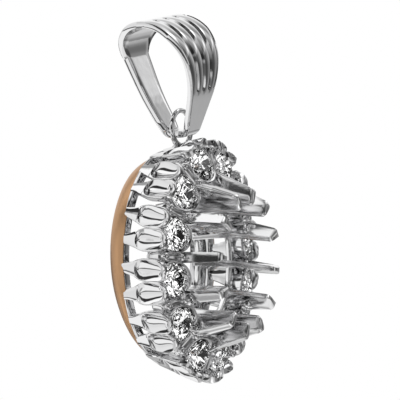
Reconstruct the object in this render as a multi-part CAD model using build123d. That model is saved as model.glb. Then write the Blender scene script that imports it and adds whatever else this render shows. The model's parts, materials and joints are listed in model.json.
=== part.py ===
from build123d import *
import os
from math import cos, pi, radians, sin, tan

# Oval cluster pendant without its centre stone, hanging from a tapered bail.
# Millimetres. The front faces -Y and +Z is up. The origin is where the chain sits in the bail.

# Halo of round brilliants
stone_count = 12
stone_diameter = 2.5
stone_tilt = 17.0
stone_gap = 0.04
halo_half_width = 5.3
halo_half_height = 7.5

# Cut of the round brilliants, as shares of their diameter
table_share = 0.57
crown_share = 0.15
girdle_share = 0.03
pavilion_share = 0.43
star_share = 0.55
lower_share = 0.76

# Seat round each brilliant
seat_wall = 0.22
seat_rise = 0.06
seat_depth = 1.15
seat_hole = 1.5

# Prongs shared by two neighbouring brilliants
bead_diameter = 0.78
bead_spread = 1.7
bead_rise = 0.42
bridge_width = 1.1
bridge_depth = 1.5

# Base rail and the fluted gallery
rail_half_width = 6.5
rail_half_height = 8.2
rail_wall = 0.8
rail_thickness = 0.3
rail_front = 3.5
rail_rise = 0.3
flute_root_width = 0.62
flute_width = 1.5
flute_thickness = 0.75
flute_shoulder = 0.45
flute_spread = 0.78
groove_width = 1.1
groove_depth = 0.42

# Rose gold band behind the rail
band_height = 1.2
band_side_taper = 0.45
band_end_taper = 0.7
band_wall = 0.7
band_gap = 0.03

# Head for an oval centre stone
centre_length = 10.0
centre_width = 8.0
prong_thickness = 0.78
prong_inside = 0.8
prong_outside = 0.4
prong_reach = 3.6
prong_corner = 0.3
prong_margin = 0.12
shoulder_reach = 1.65
plate_front = 0.4
upper_rail_y = 0.3
lower_rail_y = 2.8
head_rail_height = 0.5
head_rail_wall = 0.55
lower_rail_inset = 0.45
plate_overlap = 0.3

# Ring soldered to the top of the gallery
ring_mean_diameter = 2.7
ring_wire = 0.36
ring_rise = 0.2
ring_ahead = 0.75
foot_width = 1.9
foot_thickness = 0.6

# Bail, a tapered band bent into a drop that passes through the ring
bail_lean = 13.6
bail_height = 9.05
bail_depth = 6.25
bail_wall = 0.5
bail_drop = 0.62
bail_ahead = 2.63
bail_tip_width = 1.5
bail_foot_width = 2.1
bail_front_width = 4.85
bail_back_width = 3.0
bail_top_width = 5.6
bail_groove_count = 3
bail_groove_width = 0.5
bail_groove_depth = 0.2

# Sections of the back band: share of its height and share of its taper
band_rows = (
    (0.0, 0.0),
    (0.6, 0.3),
    (1.0, 1.0),
)

# Corners of the bail's side outline from the foot, up the back and down the front: share of the depth,
# share of the height, and the share of the shorter side beside it that the corner's rounding takes
bail_outline = (
    (0.58, 0.0, 0.25),
    (0.821, 0.332, 0.41),
    (1.0, 0.699, 0.25),
    (1.0, 0.836, 0.65),
    (0.77, 1.0, 0.53),
    (0.344, 1.0, 0.56),
    (0.0, 0.756, 0.53),
    (0.0, 0.435, 0.44),
    (0.266, 0.0, 0.27),
)

# Where a plate of the head steps up to its prong, as a share of its length
shoulder_share = 0.67

# Where the bail changes width, as shares of its height, and its crown as a share of its depth
foot_share = 0.12
groove_share = 0.355
back_share = 0.69
front_share = 0.72
top_share = 0.88
crown_share_of_depth = 0.53

stone_radius = stone_diameter / 2
ring_y = rail_front - ring_ahead
rail_top = rail_rise + rail_half_height
ring_z = rail_top + ring_rise + ring_mean_diameter / 2
bail_place = Pos(0, ring_y, ring_z) * Rot(0, -bail_lean, 0)
crown_y = crown_share_of_depth * bail_depth - bail_ahead
chain_seat = (bail_place * Pos(0, crown_y, bail_height - bail_drop - bail_wall)).position


def oval_point(half_width, half_height, turn, y=0.0):
    """Point of an upright oval; turn is measured from its top in radians."""
    return Vector(half_width * sin(turn), y, half_height * cos(turn))


def even_turns(half_width, half_height, count, shift):
    """Turns that divide an oval's rim into equal lengths."""
    steps = 1440
    lengths = [0.0]
    before = oval_point(half_width, half_height, 0.0)
    for step in range(1, steps + 1):
        here = oval_point(half_width, half_height, 2 * pi * step / steps)
        lengths.append(lengths[-1] + (here - before).length)
        before = here
    turns = []
    step = 0
    for index in range(count):
        wanted = (index + shift) * lengths[-1] / count
        while lengths[step + 1] < wanted:
            step += 1
        part = (wanted - lengths[step]) / (lengths[step + 1] - lengths[step])
        turns.append(2 * pi * (step + part) / steps)
    return turns


class Place:
    """Point on the halo's centre line, with the directions of a seat there."""

    def __init__(self, turn):
        tilt = radians(stone_tilt)
        back = Vector(0, 1, 0)
        self.turn = turn
        self.centre = oval_point(halo_half_width, halo_half_height, turn)
        self.out = Vector(halo_half_height * sin(turn), 0, halo_half_width * cos(turn)).normalized()
        self.along = Vector(self.out.Z, 0, -self.out.X)
        self.front = self.out * sin(tilt) - back * cos(tilt)
        self.across = self.out * cos(tilt) + back * sin(tilt)

    def plane(self, rise=0.0, across=0.0):
        """Plane square to the stone's axis, raised towards the front and moved outwards."""
        origin = self.centre + self.front * rise + self.across * across
        return Plane(origin=origin, x_dir=self.along, z_dir=self.front)


seats = [Place(turn) for turn in even_turns(halo_half_width, halo_half_height, stone_count, 0.5)]
gaps = [Place(turn) for turn in even_turns(halo_half_width, halo_half_height, stone_count, 0.0)]


def frontal(y, rise=0.0):
    """Frontal plane at a depth, with X to the right and Z up; it extrudes backwards."""
    return Plane(origin=(0, y, rise), x_dir=(1, 0, 0), z_dir=(0, -1, 0))


def oval_ring(half_width, half_height, wall, thickness):
    """Flat oval ring with its front on the drawing plane."""
    outer = extrude(Ellipse(half_width, half_height), -thickness)
    inner = extrude(Ellipse(half_width - wall, half_height - wall), -thickness)
    return outer - inner


def collet(seat):
    """Short tube that carries one brilliant."""
    return Solid.make_cylinder(stone_radius + seat_wall, seat_depth + seat_rise, seat.plane(-seat_depth))


def shared_prongs(gap):
    """Bridge between two neighbouring seats with two beads that hold the stones."""
    middle = gap.plane(seat_rise - bridge_depth / 2)
    pieces = [middle * Box(bridge_width, bead_spread, bridge_depth)]
    for side in (-1, 1):
        foot = gap.plane(-bridge_depth / 2, side * bead_spread / 2)
        pieces.append(Solid.make_cylinder(bead_diameter / 2, bridge_depth / 2 + bead_rise, foot))
    return pieces


def flute(seat, index, side):
    """Pointed flute from the base rail to a seat, with a round groove in its front part."""
    root_turn = (index + 0.5 + side * 0.25) * 2 * pi / stone_count
    middle = rail_wall / 2
    root_y = rail_front + rail_thickness / 2
    root = oval_point(rail_half_width - middle, rail_half_height - middle, root_turn, root_y)
    root += Vector(0, 0, rail_rise)
    reach = stone_radius + seat_wall - flute_thickness / 2
    top = seat.centre + seat.out * reach + seat.along * (side * flute_spread)
    line = (top - root).normalized()
    across = line.cross(seat.out).normalized()
    length = (top - root).length
    plane = Plane(origin=root, x_dir=line, z_dir=across.cross(line))
    shoulder = length * flute_shoulder
    outline = Polyline(
        (0, -flute_root_width / 2),
        (shoulder, -flute_width / 2),
        (length, -flute_width / 2),
        (length, flute_width / 2),
        (shoulder, flute_width / 2),
        (0, flute_root_width / 2),
        close=True,
    )
    blade = Pos(0, 0, -flute_thickness / 2) * extrude(make_face(outline), flute_thickness)
    half = groove_width / 2
    radius = (half * half + groove_depth * groove_depth) / (2 * groove_depth)
    groove_plane = Plane(origin=(shoulder, 0, flute_thickness / 2 - groove_depth + radius), z_dir=(1, 0, 0))
    groove = Solid.make_cylinder(radius, length, groove_plane)
    return plane * (blade - groove)


def stone_room(seat):
    """Room for one brilliant, with the light hole behind it."""
    radius = stone_radius + stone_gap
    table_radius = stone_diameter * table_share / 2 + stone_gap
    top = stone_diameter * (girdle_share / 2 + crown_share) + stone_gap
    half_girdle = stone_diameter * girdle_share / 2 + stone_gap
    hole = seat_hole / 2
    cone_end = half_girdle + (radius - hole) * pavilion_share * 2
    profile = Polyline(
        (0, top),
        (table_radius, top),
        (radius, half_girdle),
        (radius, -half_girdle),
        (hole, -cone_end),
        (hole, -seat_depth - bridge_depth),
        (0, -seat_depth - bridge_depth),
        close=True,
    )
    solid = revolve(Plane.XZ * make_face(profile), Axis.Z)
    return seat.plane() * solid


def head_plate(gap, index):
    """Plate from the halo to the centre stone, which stands on as a prong."""
    turn = 2 * pi * index / stone_count
    tip = oval_point(centre_width / 2 + prong_margin, centre_length / 2 + prong_margin, turn)
    radial = (gap.centre - tip).normalized()
    reach = (gap.centre - tip).length - bead_spread / 2 + plate_overlap
    low = lower_rail_y + head_rail_height
    shoulder = reach * shoulder_share
    outline = Polyline(
        (-prong_inside - lower_rail_inset, -low),
        (-prong_inside, -upper_rail_y),
        (-prong_inside, prong_reach),
        (prong_outside - prong_corner, prong_reach),
        (prong_outside, prong_reach - prong_corner),
        (shoulder, shoulder_reach),
        (shoulder, plate_front),
        (reach, plate_front),
        (reach, -upper_rail_y - head_rail_height),
        (-lower_rail_inset, -low),
        close=True,
    )
    plane = Plane(origin=tip, x_dir=radial, z_dir=radial.cross(Vector(0, -1, 0)))
    return plane * (Pos(0, 0, -prong_thickness / 2) * extrude(make_face(outline), prong_thickness))


def head_rails():
    """Two oval rails that join the plates of the head."""
    half_width = centre_width / 2 + prong_margin
    half_height = centre_length / 2 + prong_margin
    low_width = half_width - lower_rail_inset
    low_height = half_height - lower_rail_inset
    upper = oval_ring(half_width, half_height, head_rail_wall, head_rail_height)
    lower = oval_ring(low_width, low_height, head_rail_wall, head_rail_height)
    return [frontal(upper_rail_y) * upper, frontal(lower_rail_y) * lower]


def top_ring():
    """Round wire ring on its soldered foot, where the bail hangs."""
    radius = ring_mean_diameter / 2
    wire = ring_wire / 2
    plane = Plane(origin=(0, ring_y, ring_z), z_dir=(0, 1, 0))
    ring = Solid.make_torus(radius, wire, plane)
    foot_top = ring_z - radius
    foot_bottom = rail_top - rail_wall / 2
    foot = Box(foot_width, foot_thickness, foot_top - foot_bottom)
    return [ring, Pos(0, ring_y, (foot_top + foot_bottom) / 2) * foot]


def make_setting():
    """Everything that is cast and soldered in white gold, as one solid."""
    flat_rail = oval_ring(rail_half_width, rail_half_height, rail_wall, rail_thickness)
    rail = frontal(rail_front, rail_rise) * flat_rail
    pieces = [collet(seat) for seat in seats]
    for index, seat in enumerate(seats):
        pieces += [flute(seat, index, side) for side in (-1, 1)]
    for index, gap in enumerate(gaps):
        pieces += shared_prongs(gap)
        pieces.append(head_plate(gap, index))
    pieces += head_rails()
    pieces += top_ring()
    return rail.fuse(*pieces).cut(*[stone_room(seat) for seat in seats])


def band_surface(inset):
    """Solid through the sections of the back band, all made smaller by an inset."""
    front_y = rail_front + rail_thickness + band_gap
    sections = []
    for height_share, taper_share in band_rows:
        half_width = rail_half_width - inset - band_side_taper * taper_share
        half_height = rail_half_height - inset - band_end_taper * taper_share
        plane = frontal(front_y + band_height * height_share, rail_rise)
        sections.append(plane * Ellipse(half_width, half_height))
    return loft(sections)


def make_back_band():
    """Open oval band behind the rail, narrower at the back."""
    return band_surface(0) - band_surface(band_wall)


def brilliant(seat):
    """Round brilliant with a table, stars, kites, halves and a pointed pavilion."""
    table_radius = stone_diameter * table_share / 2
    top = stone_diameter * (girdle_share / 2 + crown_share)
    rim = stone_diameter * girdle_share / 2
    depth = stone_diameter * pavilion_share
    eighth = pi / 8
    star_radius = (table_radius + (stone_radius - table_radius) * (1 - star_share)) / cos(eighth)
    crown_slope = (top - rim) / (stone_radius - table_radius)
    star_height = rim + (stone_radius - star_radius * cos(eighth)) * crown_slope
    lower_radius = stone_radius * (1 - lower_share)
    lower_height = -rim - (stone_radius - lower_radius * cos(eighth)) * depth / stone_radius

    def ring(count, radius, height, shift):
        turns = [2 * pi * (index + shift) / count for index in range(count)]
        return [seat.plane().from_local_coords((radius * cos(a), radius * sin(a), height)) for a in turns]

    table = ring(8, table_radius, top, 0.0)
    stars = ring(8, star_radius, star_height, 0.5)
    upper = ring(16, stone_radius, rim, 0.0)
    lower = ring(16, stone_radius, -rim, 0.0)
    mains = ring(8, lower_radius, lower_height, 0.5)
    culet = seat.plane().from_local_coords((0, 0, -rim - depth))
    facets = [table]
    for k in range(8):
        after = (k + 1) % 8
        corner = 2 * k
        middle = corner + 1
        next_corner = (corner + 2) % 16
        facets.append([table[k], stars[k], table[after]])
        facets.append([table[k], stars[k - 1], upper[corner]])
        facets.append([table[k], upper[corner], stars[k]])
        facets.append([stars[k], upper[corner], upper[middle]])
        facets.append([stars[k], upper[middle], upper[next_corner]])
        facets.append([mains[k], lower[middle], lower[corner]])
        facets.append([mains[k], lower[next_corner], lower[middle]])
        facets.append([culet, lower[corner], mains[k - 1]])
        facets.append([culet, mains[k], lower[corner]])
    for k in range(16):
        after = (k + 1) % 16
        facets.append([upper[k], upper[after], lower[after], lower[k]])
    return Solid(Shell([Face(Wire.make_polygon(points, close=True)) for points in facets]))


def bail_outline_face(inset):
    """Side outline of the bail with Y across and Z up; its sides move inwards by an inset."""
    corners = []
    for depth_share, height_share, rounding in bail_outline:
        corners.append(Vector(depth_share * bail_depth - bail_ahead, height_share * bail_height - bail_drop))
    arcs = []
    for index, corner in enumerate(corners):
        before = corner - corners[index - 1]
        after = corners[(index + 1) % len(corners)] - corner
        reach = bail_outline[index][2] * min(before.length, after.length)
        before = before.normalized()
        after = after.normalized()
        half_turn = before.get_angle(after) / 2
        radius = reach / tan(radians(half_turn))
        inward = Vector(-before.Y - after.Y, before.X + after.X).normalized()
        centre = corner + inward * (radius / cos(radians(half_turn)))
        start = centre + Vector(before.Y, -before.X) * (radius - inset)
        end = centre + Vector(after.Y, -after.X) * (radius - inset)
        arcs.append((start, centre - inward * (radius - inset), end))
    edges = []
    for index, (start, middle, end) in enumerate(arcs):
        edges.append(Line(arcs[index - 1][2], start))
        edges.append(ThreePointArc(start, middle, end))
    return make_face(edges)


def across_bail(face, width):
    """Solid of a side outline, centred on the bail's middle plane."""
    side = Plane(origin=(0, 0, 0), x_dir=(0, 1, 0), z_dir=(1, 0, 0))
    return extrude(side * face, width / 2, both=True)


def strand_prism(rows, y_from, y_to):
    """Prism along Y; its front view follows rows of height share, left edge and right edge."""
    left = [(low, share * bail_height - bail_drop) for share, low, high in rows]
    right = [(high, share * bail_height - bail_drop) for share, low, high in rows]
    outline = make_face(Polyline(*left, *right[::-1], close=True))
    return extrude(frontal(y_from) * outline, y_to - y_from, dir=(0, 1, 0))


def symmetric(rows):
    """Rows of height share and full width, given a left and a right edge."""
    return [(share, -width / 2, width / 2) for share, width in rows]


def bail_shape(front_y, back_y):
    """Solid that the bail's band is trimmed to, narrow at the foot and wide at the crown."""
    over = 1 + bail_wall / bail_height
    foot_rows = [(0.0, bail_tip_width), (foot_share, bail_foot_width)]
    crown_row = (over, bail_top_width)
    front_rows = foot_rows + [(front_share, bail_front_width), (top_share, bail_top_width), crown_row]
    back_rows = foot_rows + [(back_share, bail_back_width), (1.0, bail_top_width), crown_row]
    front = strand_prism(symmetric(front_rows), front_y, crown_y)
    return front + strand_prism(symmetric(back_rows), crown_y, back_y)


def bail_grooves(front_y):
    """Tapered prisms that cut the grooves into the front of the bail."""
    reach = (groove_share - foot_share) / (front_share - foot_share)
    low_width = bail_foot_width + (bail_front_width - bail_foot_width) * reach
    over = 1 + bail_wall / bail_height
    rows = ((groove_share, low_width), (front_share, bail_front_width), (top_share, bail_top_width))
    rows += ((over, bail_top_width),)
    prisms = []
    for index in range(bail_groove_count):
        place = (index + 1) / (bail_groove_count + 1) - 0.5
        sides = []
        for share, width in rows:
            half = bail_groove_width / 2 * width / bail_top_width
            sides.append((share, place * width - half, place * width + half))
        prisms.append(strand_prism(sides, front_y, crown_y))
    return prisms


def make_bail():
    """Closed band, wide at the crown and narrow where it passes through the ring."""
    wide = bail_top_width + bail_wall
    front_y = -bail_ahead - bail_wall
    back_y = bail_depth - bail_ahead + bail_wall
    outer = across_bail(bail_outline_face(0), wide)
    inner = across_bail(bail_outline_face(bail_wall), 2 * wide)
    under_grooves = across_bail(bail_outline_face(bail_groove_depth), 2 * wide)
    bail = (outer - inner) & bail_shape(front_y, back_y)
    skin = outer - under_grooves
    for prism in bail_grooves(front_y):
        bail -= skin & prism
    return bail_place * bail


def make_pieces():
    """Every piece by the name of its node."""
    pieces = {"bail": make_bail(), "setting": make_setting(), "back_band": make_back_band()}
    for number, seat in enumerate(seats, 1):
        pieces[f"stone_{number:02d}"] = brilliant(seat)
    return pieces


if __name__ == "__main__":
    os.makedirs("parts", exist_ok=True)
    for name, piece in make_pieces().items():
        export_step(Location(-chain_seat) * piece, f"parts/{name}.step")
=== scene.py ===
import json
import math

import bmesh
import bpy
from bpy.props import FloatProperty, FloatVectorProperty, IntProperty, PointerProperty
from mathutils import Matrix, Vector


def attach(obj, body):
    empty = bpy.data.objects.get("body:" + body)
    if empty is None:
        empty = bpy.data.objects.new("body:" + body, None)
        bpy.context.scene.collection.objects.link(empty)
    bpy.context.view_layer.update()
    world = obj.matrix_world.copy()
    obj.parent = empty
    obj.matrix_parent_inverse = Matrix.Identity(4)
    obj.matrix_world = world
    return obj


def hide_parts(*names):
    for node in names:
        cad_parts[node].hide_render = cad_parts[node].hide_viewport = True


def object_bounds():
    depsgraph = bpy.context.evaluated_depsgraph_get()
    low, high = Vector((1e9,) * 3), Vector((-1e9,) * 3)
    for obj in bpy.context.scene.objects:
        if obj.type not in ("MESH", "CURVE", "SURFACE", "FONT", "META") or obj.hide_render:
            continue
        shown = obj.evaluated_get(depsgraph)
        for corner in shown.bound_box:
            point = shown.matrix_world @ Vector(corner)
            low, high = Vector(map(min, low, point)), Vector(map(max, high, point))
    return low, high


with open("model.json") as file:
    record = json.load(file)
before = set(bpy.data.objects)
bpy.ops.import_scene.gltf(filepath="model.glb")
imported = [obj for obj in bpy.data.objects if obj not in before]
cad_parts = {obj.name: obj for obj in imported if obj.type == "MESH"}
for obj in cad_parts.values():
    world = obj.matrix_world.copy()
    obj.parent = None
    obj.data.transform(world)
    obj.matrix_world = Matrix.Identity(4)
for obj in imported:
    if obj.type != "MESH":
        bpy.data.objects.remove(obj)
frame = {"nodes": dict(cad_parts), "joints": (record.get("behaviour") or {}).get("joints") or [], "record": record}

bl_info = {
    "name": "Oval cluster pendant mount",
    "version": (1, 0, 0),
    "blender": (4, 5, 0),
    "location": "View3D > Sidebar > Pendant",
    "description": "Builds the finish of an oval pendant mount with a halo of brilliants and a ridged bail",
    "category": "Add Mesh",
}

MM = 0.001
BACK = Vector((0.0, 1.0, 0.0))
MOUNTS = {mount["name"]: mount for mount in frame["record"]["mounts"]}
RING = Vector(frame["joints"][0]["pos_m"])
SEAT = Vector(MOUNTS["centre_stone_seat"]["pos_m"])
CHAIN_AXIS = Vector(MOUNTS["chain_seat"]["axis"])
CAD_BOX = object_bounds()


def length(name, description, size):
    """Property for a length whose default is given in millimetres."""
    return FloatProperty(name=name, description=description, default=size * MM, unit="LENGTH", precision=5)


def share(name, description, size):
    """Property for a share from 0 to 1."""
    return FloatProperty(name=name, description=description, default=size, min=0.0, max=1.0, subtype="FACTOR")


def turn(name, description, degrees):
    """Property for an angle whose default is given in degrees."""
    return FloatProperty(name=name, description=description, default=math.radians(degrees), subtype="ANGLE")


def colour(name, description, value):
    """Property for a linear colour."""
    return FloatVectorProperty(name=name, description=description, default=value, size=3, subtype="COLOR")


def count(name, description, number):
    """Property for a number of copies or steps."""
    return IntProperty(name=name, description=description, default=number, min=1)


def pixels(name, description, number):
    """Property for a measure in the picture, in pixels."""
    return FloatProperty(name=name, description=description, default=number)


class PENDANT_PG_halo(bpy.types.PropertyGroup):
    """Sizes of the halo and of the seat round each brilliant"""

    stones: count("Stones", "Number of brilliants in the halo", 12)
    half_width: length("Half width", "From the middle to the stones at the sides", 5.3)
    half_height: length("Half height", "From the middle to the stones at the top", 7.5)
    tilt: turn("Tilt", "Outward tilt of each brilliant", 17.0)
    stone: length("Stone diameter", "Diameter of a brilliant", 2.5)
    wall: length("Seat wall", "Metal round a brilliant", 0.22)
    cup: length("Cup wall", "Visible wall of a seat round a brilliant", 0.13)
    rise: length("Seat rise", "Height of a seat's rim over the girdle", 0.1)
    wall_rise: length("Wall rise", "Height of a seat's wall towards the head", 0.3)
    depth: length("Seat depth", "Depth of a seat behind the girdle", 1.15)
    hole: length("Light hole", "Diameter of the hole behind a brilliant", 1.5)
    bead: length("Bead diameter", "Diameter of a prong bead", 0.62)
    bead_spread: length("Bead spread", "Distance between the two beads at a gap", 1.7)
    bead_rise: length("Bead rise", "Height of a bead over the girdle", 0.46)
    bridge: length("Bridge width", "Width of the metal between two seats", 0.8)
    bridge_depth: length("Bridge depth", "Depth of the metal between two seats", 1.45)


class PENDANT_PG_gallery(bpy.types.PropertyGroup):
    """Sizes of the rail, the flutes and the rose gold band"""

    half_width: length("Half width", "Half width of the rail", 6.5)
    half_height: length("Half height", "Half height of the rail", 8.2)
    rise: length("Rise", "Height of the rail's middle over the halo's middle", 0.3)
    front: length("Front", "Distance of the rail behind the girdles", 3.5)
    wall: length("Rail wall", "Width of the rail", 0.8)
    thickness: length("Rail thickness", "Thickness of the rail", 0.3)
    width: length("Flute width", "Width of a flute at the stones", 1.72)
    flute_thickness: length("Flute thickness", "Thickness of a flute", 0.75)
    spread: length("Spread", "Distance of a flute from the middle of its stone", 0.78)
    channel: share("Channel start", "Where the channel starts, as a share of the flute's length", 0.31)
    channel_bend: share("Channel bend", "Length of the channel's round start, as such a share", 0.13)
    channel_depth: length("Channel depth", "Depth of the channel", 0.36)
    rim: length("Rim", "Width of the rim beside a channel", 0.1)
    petal: length("Petal", "Length of a flute's rounded tip", 0.85)
    wobble: turn("Wobble", "How far the hand-finished flutes turn about their own length", 3.5)
    tip: length("Tip", "How far a flute's tip stands over the girdle", 0.3)
    behind: length("Outward shift", "How far a flute's outer face stands outwards of its stone", 0.32)
    band_height: length("Band height", "Height of the rose gold band", 1.2)
    band_side: length("Band side taper", "How far the band draws in at its sides", 0.58)
    band_end: length("Band end taper", "How far the band draws in at its ends", 0.75)
    band_short: length("Band shortening", "How far the band's ends lie inwards of the rail's", 0.5)
    band_lift: length("Band lift", "How far the band's back edge lies above its front edge", 0.35)
    band_wall: length("Band wall", "Wall of the band", 0.7)
    band_gap: length("Band gap", "Gap between the band and the rail", 0.03)
    lip: length("Lip", "Thickness of the band's lip over the rail's edge", 0.07)


class PENDANT_PG_head(bpy.types.PropertyGroup):
    """Sizes of the empty head"""

    stone_width: length("Stone width", "Width of the centre stone that the head takes", 8.0)
    stone_length: length("Stone length", "Length of the centre stone that the head takes", 10.0)
    margin: length("Margin", "Distance of the prongs' outline from the stone's edge", 0.12)
    plate: length("Plate thickness", "Thickness of a plate", 0.78)
    inside: length("Inside", "How far a prong stands inwards of the outline", 0.8)
    outside: length("Outside", "How far a prong's tip stands outwards of the outline", 0.4)
    reach: length("Reach", "Height of the prongs over the girdles", 3.6)
    ridge: length("Ridge start", "Where a prong starts to narrow to its inner ridge", 0.15)
    ridge_share: share("Ridge share", "How far a prong narrows to its inner ridge", 0.45)
    tip: length("Tip", "Height of a prong's rounded tip", 0.42)
    drop: length("Prong drop", "How far the hand-set prongs' tips hang down", 0.25)
    twist: turn("Prong twist", "Turn of the hand-set prongs' tips round the middle", 3.5)
    own_turn: turn("End prong turn", "Turn of the highest and the lowest prong about their own length", 9.0)
    notch: length("Seat depth", "Depth of the centre stone's girdle behind the tips", 1.0)
    nose: length("Nose radius", "Rounding of a prong's tip", 0.42)
    shoulder: length("Shoulder", "How far a prong's shoulder stands outwards of the outline", 1.12)
    shoulder_reach: length("Shoulder reach", "Height of a prong's shoulder over the girdles", 1.65)
    plate_front: length("Plate front", "Height of a plate at the halo", 0.4)
    edge: length("Edge", "Width of the rounded edges", 0.15)
    upper: length("Upper rail", "Depth of the upper rail", 0.3)
    lower: length("Lower rail", "Depth of the lower rail", 2.8)
    rail_height: length("Rail height", "Height of a rail", 0.5)
    rail_wall: length("Rail wall", "Wall of a rail", 0.55)
    inset: length("Inset", "How far the lower rail stands inwards", 0.45)
    overlap: length("Overlap", "How far a plate runs into its bead", 0.3)


class PENDANT_PG_bail(bpy.types.PropertyGroup):
    """Sizes of the bail and of the ring that it hangs on"""

    height: length("Height", "Height of the bail", 9.05)
    depth: length("Depth", "Depth of the bail from front to back", 6.25)
    wall: length("Wall", "Thickness of the band", 0.5)
    drop: length("Drop", "How far the foot lies below the ring's middle", 0.62)
    ahead: length("Ahead", "How far the front lies before the ring's middle", 2.63)
    tip: length("Tip width", "Width at the very foot", 1.5)
    foot: length("Foot width", "Width above the foot", 2.1)
    front: length("Front width", "Width where the front starts to curve over", 4.85)
    back: length("Back width", "Width at the back", 3.0)
    top: length("Top width", "Width at the crown", 5.6)
    ridges: count("Ridges", "Number of ridges on the front", 4)
    groove: share("Groove width", "Width of a groove as a share of a ridge", 0.36)
    groove_depth: length("Groove depth", "Depth of a groove", 0.22)
    ring: length("Ring diameter", "Mean diameter of the ring", 2.7)
    wire: length("Wire", "Wire of the ring", 0.38)


class PENDANT_PG_finish(bpy.types.PropertyGroup):
    """Colours of the finishes"""

    white_gold: colour("White gold", "Colour of the plated white gold", (0.76, 0.76, 0.765))
    rose_gold: colour("Rose gold", "Colour of the rose gold", (0.62, 0.37, 0.2))
    brilliant: colour("Brilliant", "Colour of the small stones", (1.0, 1.0, 1.0))
    polish: share("Polish roughness", "Roughness of the polished metal", 0.035)
    # Painted light: the head and the seats get a lighter white gold than the polished parts, to brighten faces
    # that lie in shade.
    inside: colour("Head white gold", "Colour of the metal of the head and the seats", (0.84, 0.84, 0.845))
    soft: share("Soft roughness", "Roughness of the white gold where it isn't polished", 0.11)
    satin: share("Satin roughness", "Roughness of the satin metal", 0.38)


class PENDANT_PG_studio(bpy.types.PropertyGroup):
    """Camera and light"""

    azimuth: turn("Azimuth", "Angle of the view round the upright axis", -58.68)
    elevation: turn("Elevation", "Angle of the view over the horizon", -2.97)
    roll: turn("Roll", "Turn of the picture", -0.99)
    distance: length("Distance", "Distance of the camera from the halo", 200.0)
    scale: pixels("Scale", "Pixels for a millimetre at the halo", 13.41)
    centre_u: pixels("Centre across", "Pixel of the halo's middle, from the left", 210.19)
    centre_v: pixels("Centre down", "Pixel of the halo's middle, from the top", 260.98)
    picture: count("Picture width", "Pixels along each side of the picture", 400)
    floor_gap: length("Floor gap", "Distance of the floor below the pendant", 2.4)


def halo_centre(head):
    """Middle of the halo in the plane of the girdles, worked out from the centre stone's seat."""
    return SEAT + BACK * (head.reach - head.notch)


def oval_point(half_width, half_height, angle):
    """Point of an upright oval round the origin; the angle is measured from its top."""
    return Vector((half_width * math.sin(angle), 0.0, half_height * math.cos(angle)))


def full_turn(steps):
    """Angles that divide a full turn into equal steps."""
    return [2 * math.pi * step / steps for step in range(steps)]


def even_turns(half_width, half_height, number, shift, steps=1440):
    """Angles that divide an oval's rim into equal lengths, measured in fine steps."""
    angles = full_turn(steps) + [2 * math.pi]
    points = [oval_point(half_width, half_height, angle) for angle in angles]
    lengths = [0.0]
    for before, here in zip(points, points[1:]):
        lengths.append(lengths[-1] + (here - before).length)
    turns = []
    step = 0
    for index in range(number):
        wanted = (index + shift) * lengths[-1] / number
        while lengths[step + 1] < wanted:
            step += 1
        part = (wanted - lengths[step]) / (lengths[step + 1] - lengths[step])
        turns.append(angles[1] * (step + part))
    return turns


class Place:
    """Point on the halo with the directions of a seat: along the halo, outwards and to the front."""

    def __init__(self, halo, centre, angle):
        self.point = centre + oval_point(halo.half_width, halo.half_height, angle)
        sideways = halo.half_height * math.sin(angle)
        self.out = Vector((sideways, 0.0, halo.half_width * math.cos(angle))).normalized()
        self.along = Vector((self.out.z, 0.0, -self.out.x))
        self.front = self.out * math.sin(halo.tilt) - BACK * math.cos(halo.tilt)
        self.across = self.out * math.cos(halo.tilt) + BACK * math.sin(halo.tilt)

    def at(self, along=0.0, across=0.0, rise=0.0):
        """Point measured from the place along its three directions."""
        return self.point + self.along * along + self.across * across + self.front * rise

    def turned(self):
        """Euler turn of a template that stands at the place."""
        return axes_turn(self.along, self.across, self.front)


def halo_places(context, shift):
    """Places of the seats for a shift of a half, and of the gaps for none."""
    halo = context.scene.pendant_halo
    centre = halo_centre(context.scene.pendant_head)
    turns = even_turns(halo.half_width, halo.half_height, halo.stones, shift)
    return [Place(halo, centre, angle) for angle in turns]


def axes_turn(first, second, third):
    """Euler turn of a template whose axes point along three directions."""
    return Matrix((first, second, third)).transposed().to_euler()


def smooth_step(value):
    """Smooth rise from 0 to 1."""
    held = min(max(value, 0.0), 1.0)
    return held * held * (3 - 2 * held)


def between(rows, value):
    """Value of a table of pairs at a place, straight from row to row."""
    if value <= rows[0][0]:
        return rows[0][1]
    for (low, first), (high, second) in zip(rows, rows[1:]):
        if value <= high:
            return first + (second - first) * (value - low) / (high - low)
    return rows[-1][1]


def finished_mesh(shape, name, crease):
    """Smooth mesh of a bmesh, with sharp edges where its faces turn by more than the crease in degrees."""
    mesh = bpy.data.meshes.new(name)
    shape.to_mesh(mesh)
    shape.free()
    mesh.shade_smooth()
    if crease:
        mesh.set_sharp_from_angle(angle=math.radians(crease))
    return mesh


def mesh_of(name, points, faces, crease=35.0):
    """Smooth mesh of points and faces with its normals outwards."""
    plain = bpy.data.meshes.new(name + "_plain")
    plain.from_pydata([tuple(point) for point in points], [], faces)
    shape = bmesh.new()
    shape.from_mesh(plain)
    bpy.data.meshes.remove(plain)
    bmesh.ops.recalc_face_normals(shape, faces=shape.faces)
    return finished_mesh(shape, name, crease)


def sharpen(mesh, size, rule):
    """Marks the edges of a skinned mesh sharp where a rule on the rows and columns of both ends holds."""
    marks = mesh.attributes.get("sharp_edge") or mesh.attributes.new("sharp_edge", "BOOLEAN", "EDGE")
    for edge in mesh.edges:
        first, last = sorted(edge.vertices)
        if rule(first // size, first % size, last // size, last % size):
            marks.data[edge.index].value = True


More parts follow.
